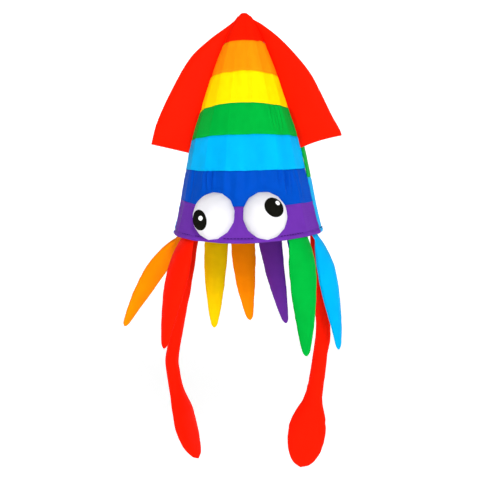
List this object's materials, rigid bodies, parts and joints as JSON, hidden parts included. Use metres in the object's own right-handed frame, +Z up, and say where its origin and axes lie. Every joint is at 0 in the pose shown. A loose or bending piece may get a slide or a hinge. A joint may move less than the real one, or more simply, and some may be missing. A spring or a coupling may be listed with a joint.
{
  "type": "squid costume hat",
  "caption": "Tall foam cone hat in rainbow bands with two side fins, stuffed goggle eyes, short hanging arms and two long arms that end in clubs.",
  "frame": {"origin": "centre of the head opening, in the plane of the hem", "axes": "+Z up towards the tip of the cone, -Y the way the eyes look, +X to the right as a viewer faces the eyes"},
  "size_m": [0.2934, 0.2112, 0.6141],
  "materials": {
    "red_cloth": "satin",
    "orange_cloth": "satin",
    "yellow_cloth": "satin",
    "green_cloth": "satin",
    "sky_cloth": "satin",
    "blue_cloth": "satin",
    "purple_cloth": "satin",
    "navy_cloth": "satin",
    "gold_cloth": "satin",
    "amber_cloth": "satin",
    "orange_arm_cloth": "satin",
    "white_plush": "satin",
    "black_felt": "matte",
    "white_felt": "matte",
    "foam": "matte",
    "lining_cloth": "satin",
    "sweatband_cloth": "satin",
    "stuffing": "matte",
    "thread": "satin"
  },
  "bodies": {
    "hat": {"foam_cone": "foam", "lining": "lining_cloth", "sweatband": "sweatband_cloth", "hem_stitching": "thread", "purple_band": "purple_cloth", "blue_band": "blue_cloth", "sky_band": "sky_cloth", "green_band": "green_cloth", "yellow_band": "yellow_cloth", "orange_band": "orange_cloth", "red_tip": "red_cloth", "sky_back_panel": "sky_cloth", "green_back_panel": "green_cloth", "yellow_back_panel": "yellow_cloth", "orange_back_panel": "orange_cloth", "red_back_panel": "red_cloth", "left_eye_cloth": "white_plush", "left_eye_filling": "stuffing", "left_eye_pupil": "black_felt", "left_eye_glint": "white_felt", "right_eye_cloth": "white_plush", "right_eye_filling": "stuffing", "right_eye_pupil": "black_felt", "right_eye_glint": "white_felt"},
    "left_fin": {"left_fin_front_cloth": "red_cloth", "left_fin_back_cloth": "red_cloth", "left_fin_filling": "stuffing"},
    "right_fin": {"right_fin_front_cloth": "red_cloth", "right_fin_back_cloth": "red_cloth", "right_fin_filling": "stuffing"},
    "red_arm": {"red_arm_cloth": "red_cloth", "red_arm_filling": "stuffing"},
    "amber_arm": {"amber_arm_cloth": "amber_cloth", "amber_arm_filling": "stuffing"},
    "yellow_arm": {"yellow_arm_cloth": "gold_cloth", "yellow_arm_filling": "stuffing"},
    "orange_arm": {"orange_arm_cloth": "orange_arm_cloth", "orange_arm_filling": "stuffing"},
    "purple_arm": {"purple_arm_cloth": "purple_cloth", "purple_arm_filling": "stuffing"},
    "navy_arm": {"navy_arm_cloth": "navy_cloth", "navy_arm_filling": "stuffing"},
    "sky_arm": {"sky_arm_cloth": "sky_cloth", "sky_arm_filling": "stuffing"},
    "green_arm": {"green_arm_cloth": "green_cloth", "green_arm_filling": "stuffing"},
    "left_tentacle": {"left_tentacle_cloth": "red_cloth", "left_tentacle_filling": "stuffing"},
    "left_tentacle_club": {"left_tentacle_club_cloth": "red_cloth", "left_tentacle_club_filling": "stuffing"},
    "right_tentacle": {"right_tentacle_cloth": "red_cloth", "right_tentacle_filling": "stuffing"},
    "right_tentacle_club": {"right_tentacle_club_cloth": "red_cloth", "right_tentacle_club_filling": "stuffing"}
  },
  "joints": [
    {"name": "left_fin_flap", "type": "hinge", "parent": "hat", "child": "left_fin", "pos_m": [-0.07408, -0.0171, 0.115], "axis": [-0.3101, -0.0716, -0.948], "range_deg": [-30, 30], "stiffness_Nm_per_rad": 0.15},
    {"name": "right_fin_flap", "type": "hinge", "parent": "hat", "child": "right_fin", "pos_m": [0.07408, -0.0171, 0.115], "axis": [-0.3101, 0.0716, 0.948], "range_deg": [-30, 30], "stiffness_Nm_per_rad": 0.15},
    {"name": "red_arm_swing", "type": "hinge", "parent": "hat", "child": "red_arm", "pos_m": [-0.07201, -0.06042, -0.004], "axis": [-0.6428, 0.766, 0], "range_deg": [-12, 60], "stiffness_Nm_per_rad": 0.03, "springref_deg": 2.39},
    {"name": "amber_arm_swing", "type": "hinge", "parent": "hat", "child": "amber_arm", "pos_m": [-0.09394, -0.00328, -0.004], "axis": [-0.0349, 0.9994, 0], "range_deg": [-12, 34], "stiffness_Nm_per_rad": 0.03, "springref_deg": 5.9},
    {"name": "yellow_arm_swing", "type": "hinge", "parent": "hat", "child": "yellow_arm", "pos_m": [-0.05392, 0.077, -0.004], "axis": [0.8192, 0.5736, 0], "range_deg": [-12, 60], "stiffness_Nm_per_rad": 0.03, "springref_deg": 0.77},
    {"name": "orange_arm_swing", "type": "hinge", "parent": "hat", "child": "orange_arm", "pos_m": [-0.01713, 0.09243, -0.004], "axis": [0.9833, 0.1822, 0], "range_deg": [-12, 60], "stiffness_Nm_per_rad": 0.03, "springref_deg": 0.66},
    {"name": "purple_arm_swing", "type": "hinge", "parent": "hat", "child": "purple_arm", "pos_m": [0.02194, 0.0914, -0.004], "axis": [0.9724, -0.2334, 0], "range_deg": [-12, 60], "stiffness_Nm_per_rad": 0.03, "springref_deg": 0.54},
    {"name": "navy_arm_swing", "type": "hinge", "parent": "hat", "child": "navy_arm", "pos_m": [0.06167, 0.07094, -0.004], "axis": [0.7547, -0.6561, 0], "range_deg": [-12, 60], "stiffness_Nm_per_rad": 0.03, "springref_deg": 1.52},
    {"name": "sky_arm_swing", "type": "hinge", "parent": "hat", "child": "sky_arm", "pos_m": [0.09348, -0.00983, -0.004], "axis": [-0.1045, -0.9945, 0], "range_deg": [-12, 60], "stiffness_Nm_per_rad": 0.03, "springref_deg": 2.44},
    {"name": "green_arm_swing", "type": "hinge", "parent": "hat", "child": "green_arm", "pos_m": [0.07253, -0.05979, -0.004], "axis": [-0.6361, -0.7716, 0], "range_deg": [-12, 60], "stiffness_Nm_per_rad": 0.03, "springref_deg": 0.77},
    {"name": "left_tentacle_swing", "type": "hinge", "parent": "hat", "child": "left_tentacle", "pos_m": [-0.08449, 0.04121, -0.004], "axis": [0.4384, 0.8988, 0], "range_deg": [-12, 60], "stiffness_Nm_per_rad": 0.06, "springref_deg": 5.9},
    {"name": "left_club_bend", "type": "hinge", "parent": "left_tentacle", "child": "left_tentacle_club", "pos_m": [-0.11836, 0.05773, -0.19598], "axis": [0.3563, 0.9343, -0.0103], "range_deg": [-20, 50], "stiffness_Nm_per_rad": 0.03, "springref_deg": -5.57},
    {"name": "right_tentacle_swing", "type": "hinge", "parent": "hat", "child": "right_tentacle", "pos_m": [0.0894, 0.02905, -0.004], "axis": [0.309, -0.9511, 0], "range_deg": [-12, 60], "stiffness_Nm_per_rad": 0.06, "springref_deg": -0.64},
    {"name": "right_club_bend", "type": "hinge", "parent": "right_tentacle", "child": "right_tentacle_club", "pos_m": [0.09047, 0.0294, -0.19598], "axis": [0.9456, -0.2913, -0.1447], "range_deg": [-20, 50], "stiffness_Nm_per_rad": 0.03, "springref_deg": -2.11}
  ]
}
